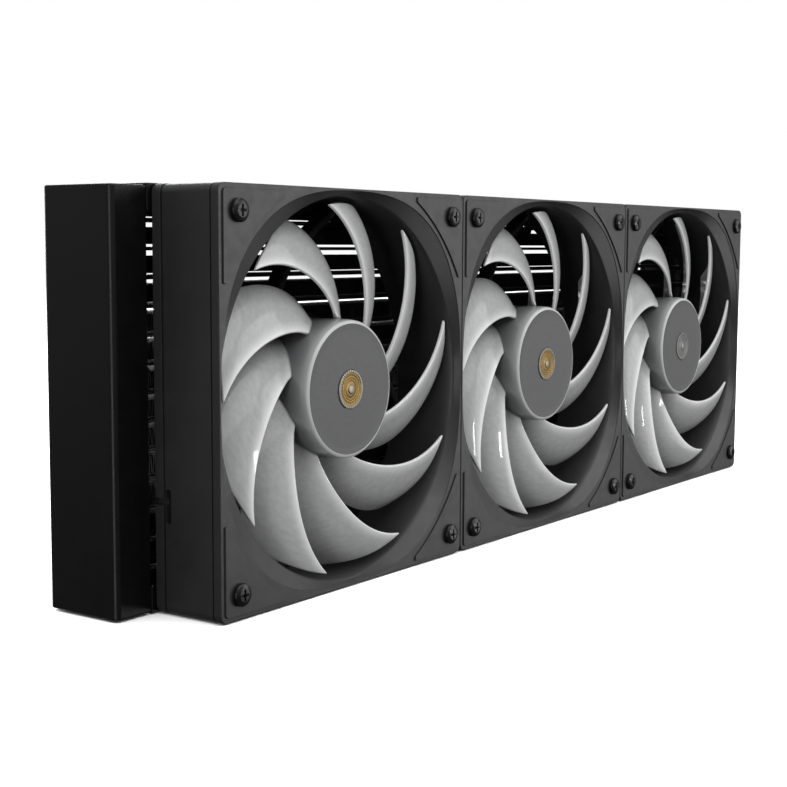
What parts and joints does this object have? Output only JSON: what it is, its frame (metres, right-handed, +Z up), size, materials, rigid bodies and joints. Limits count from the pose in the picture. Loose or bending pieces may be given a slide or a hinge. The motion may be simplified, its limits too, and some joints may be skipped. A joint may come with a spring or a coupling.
{
  "type": "liquid cooling radiator",
  "caption": "Slim black liquid cooling radiator with frosted, swept-blade fans in a row on one face, flat end tanks and barbed hose fittings at one end.",
  "frame": {"origin": "on the underside of the bottom rail, below the middle fan's axis, half way through the radiator's thickness", "axes": "+X along the radiator towards the tank with the hose fittings, -Y out of the fans' front, +Z up, with the radiator standing on its long narrow side"},
  "size_m": [0.4063, 0.0545, 0.12],
  "materials": {
    "black_frame_plastic": "fine satin moulded finish",
    "frosted_blade_plastic": "frosted, with glossy leading edges",
    "brass_badge": "satin",
    "grey_badge": "satin grey",
    "motor_steel": "turned",
    "bearing_bronze": "turned",
    "copper_windings": "wound wire",
    "board_green": "solder mask",
    "black_screw_steel": "black, semi-gloss",
    "black_tank_paint": "fine satin black paint",
    "black_core_aluminium": "black coated",
    "fitting_nickel": "satin nickel"
  },
  "bodies": {
    "housing": {"fan_1_frame": "black_frame_plastic", "fan_1_bearing": "bearing_bronze", "fan_1_stator": "copper_windings", "fan_1_circuit_board": "board_green", "fan_1_screw_1": "black_screw_steel", "fan_1_screw_2": "black_screw_steel", "fan_1_screw_3": "black_screw_steel", "fan_1_screw_4": "black_screw_steel", "fan_2_frame": "black_frame_plastic", "fan_2_bearing": "bearing_bronze", "fan_2_stator": "copper_windings", "fan_2_circuit_board": "board_green", "fan_2_screw_1": "black_screw_steel", "fan_2_screw_2": "black_screw_steel", "fan_2_screw_3": "black_screw_steel", "fan_2_screw_4": "black_screw_steel", "fan_3_frame": "black_frame_plastic", "fan_3_bearing": "bearing_bronze", "fan_3_stator": "copper_windings", "fan_3_circuit_board": "board_green", "fan_3_screw_1": "black_screw_steel", "fan_3_screw_2": "black_screw_steel", "fan_3_screw_3": "black_screw_steel", "fan_3_screw_4": "black_screw_steel", "near_tank": "black_tank_paint", "far_tank": "black_tank_paint", "tank_baffle": "black_core_aluminium", "tube_bank": "black_core_aluminium", "fin_row_01": "black_core_aluminium", "fin_row_02": "black_core_aluminium", "fin_row_03": "black_core_aluminium", "fin_row_04": "black_core_aluminium", "fin_row_05": "black_core_aluminium", "fin_row_06": "black_core_aluminium", "fin_row_07": "black_core_aluminium", "fin_row_08": "black_core_aluminium", "fin_row_09": "black_core_aluminium", "fin_row_10": "black_core_aluminium", "fin_row_11": "black_core_aluminium", "fin_row_12": "black_core_aluminium", "fin_row_13": "black_core_aluminium", "fin_row_14": "black_core_aluminium", "fin_row_15": "black_core_aluminium", "bottom_rail": "black_tank_paint", "top_rail": "black_tank_paint", "inlet_fitting": "fitting_nickel", "outlet_fitting": "fitting_nickel", "fill_plug": "fitting_nickel"},
    "rotor_1": {"fan_1_impeller": "frosted_blade_plastic", "fan_1_hub_badge": "brass_badge", "fan_1_rotor_ring": "motor_steel", "fan_1_shaft": "motor_steel"},
    "rotor_2": {"fan_2_impeller": "frosted_blade_plastic", "fan_2_hub_badge": "brass_badge", "fan_2_rotor_ring": "motor_steel", "fan_2_shaft": "motor_steel"},
    "rotor_3": {"fan_3_impeller": "frosted_blade_plastic", "fan_3_hub_badge": "grey_badge", "fan_3_rotor_ring": "motor_steel", "fan_3_shaft": "motor_steel"}
  },
  "joints": [
    {"name": "fan_1_spin", "type": "hinge", "parent": "housing", "child": "rotor_1", "pos_m": [-0.12, -0.02475, 0.06], "axis": [0, -1, 0], "continuous": true},
    {"name": "fan_2_spin", "type": "hinge", "parent": "housing", "child": "rotor_2", "pos_m": [0, -0.02475, 0.06], "axis": [0, -1, 0], "continuous": true},
    {"name": "fan_3_spin", "type": "hinge", "parent": "housing", "child": "rotor_3", "pos_m": [0.12, -0.02475, 0.06], "axis": [0, -1, 0], "continuous": true}
  ]
}
